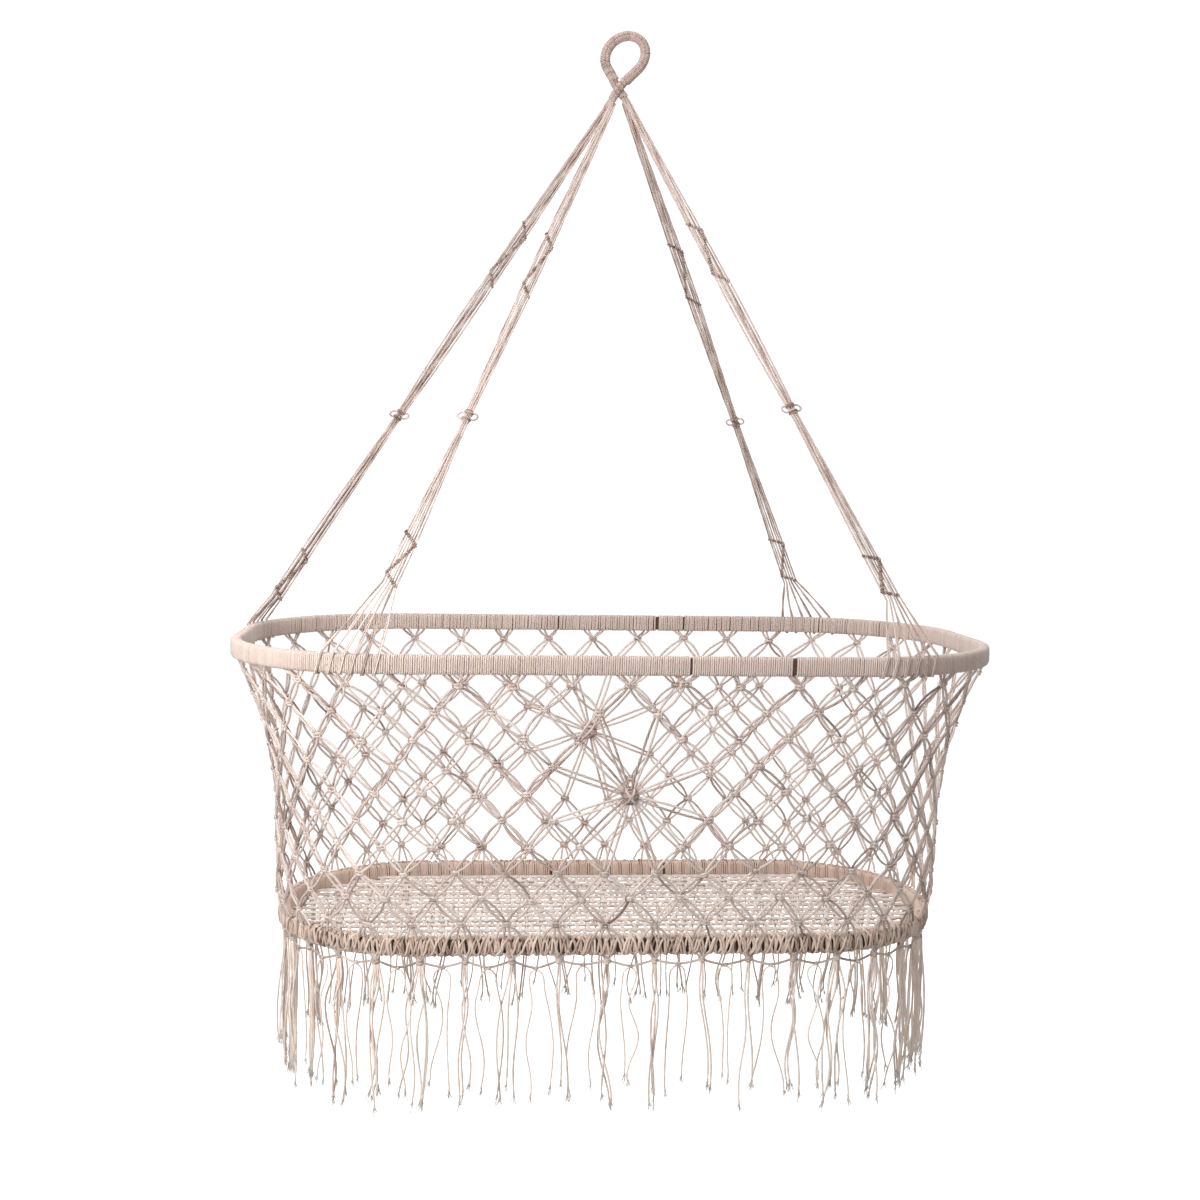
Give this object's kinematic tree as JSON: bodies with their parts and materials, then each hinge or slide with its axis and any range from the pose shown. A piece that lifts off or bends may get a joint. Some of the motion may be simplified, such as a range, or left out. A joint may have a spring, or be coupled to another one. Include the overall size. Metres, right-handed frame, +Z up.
{
  "type": "hanging cradle",
  "caption": "Oval macrame hanging cradle: rope loop, four cord slings, two wrapped hoops, a knotted side net, a woven base and a fringe.",
  "frame": {"origin": "the hook's contact point, at the inner top of the hanging loop", "axes": "+X along the cradle, +Y to its back, +Z up"},
  "size_m": [0.9, 0.51, 1.2645],
  "materials": {
    "cord": "twisted undyed cotton cord, matt",
    "wrapping": "fine cotton cord wound closely, matt",
    "wood": "plain bent wood",
    "net": "knotted cotton cord, matt",
    "fringe": "loose twisted cotton cord with frayed ends"
  },
  "bodies": {
    "hanging_loop": {"loop_core": "cord", "loop_wrapping": "wrapping"},
    "neck": {"crossing_knot": "wrapping"},
    "yoke": {"left_neck_whipping": "wrapping", "right_neck_whipping": "wrapping"},
    "cradle": {"sling_front_left_cords": "cord", "sling_front_left_upper_knots": "cord", "sling_front_left_lower_knots": "cord", "sling_front_left_bow_knot": "cord", "sling_front_right_cords": "cord", "sling_front_right_upper_knots": "cord", "sling_front_right_lower_knots": "cord", "sling_front_right_bow_knot": "cord", "sling_back_right_cords": "cord", "sling_back_right_upper_knots": "cord", "sling_back_right_lower_knots": "cord", "sling_back_right_bow_knot": "cord", "sling_back_left_cords": "cord", "sling_back_left_upper_knots": "cord", "sling_back_left_lower_knots": "cord", "sling_back_left_bow_knot": "cord", "top_hoop_core": "wood", "top_hoop_wrapping": "wrapping", "side_net": "net", "front_rosette": "cord", "back_rosette": "cord"},
    "base": {"bottom_hoop_core": "wood", "bottom_hoop_wrapping": "wrapping", "base_net": "net", "gather_knots": "cord", "garland_cord": "cord", "fringe_corners": "fringe"},
    "front_fringe": {"fringe_front": "fringe"},
    "back_fringe": {"fringe_back": "fringe"},
    "left_fringe": {"fringe_left": "fringe"},
    "right_fringe": {"fringe_right": "fringe"}
  },
  "joints": [
    {"name": "neck_twist", "type": "hinge", "parent": "hanging_loop", "child": "neck", "pos_m": [0, 0, -0.055], "axis": [0, 0, 1], "range_deg": [-90, 90]},
    {"name": "lengthwise_swing", "type": "hinge", "parent": "neck", "child": "yoke", "pos_m": [0, 0, -0.055], "axis": [0, 1, 0], "range_deg": [-20, 20]},
    {"name": "sideways_rock", "type": "hinge", "parent": "yoke", "child": "cradle", "pos_m": [0, 0, -0.055], "axis": [1, 0, 0], "range_deg": [-15, 15]},
    {"name": "base_lift", "type": "slide", "parent": "cradle", "child": "base", "axis": [0, 0, 1], "range_m": [0, 0.26]},
    {"name": "front_fringe_sway", "type": "hinge", "parent": "base", "child": "front_fringe", "pos_m": [0, -0.177, -1.073], "axis": [1, 0, 0], "range_deg": [-12, 15]},
    {"name": "back_fringe_sway", "type": "hinge", "parent": "base", "child": "back_fringe", "pos_m": [0, 0.177, -1.073], "axis": [-1, 0, 0], "range_deg": [-12, 15]},
    {"name": "left_fringe_sway", "type": "hinge", "parent": "base", "child": "left_fringe", "pos_m": [-0.392, 0, -1.073], "axis": [0, -1, 0], "range_deg": [-12, 15]},
    {"name": "right_fringe_sway", "type": "hinge", "parent": "base", "child": "right_fringe", "pos_m": [0.392, 0, -1.073], "axis": [0, 1, 0], "range_deg": [-12, 15]}
  ]
}
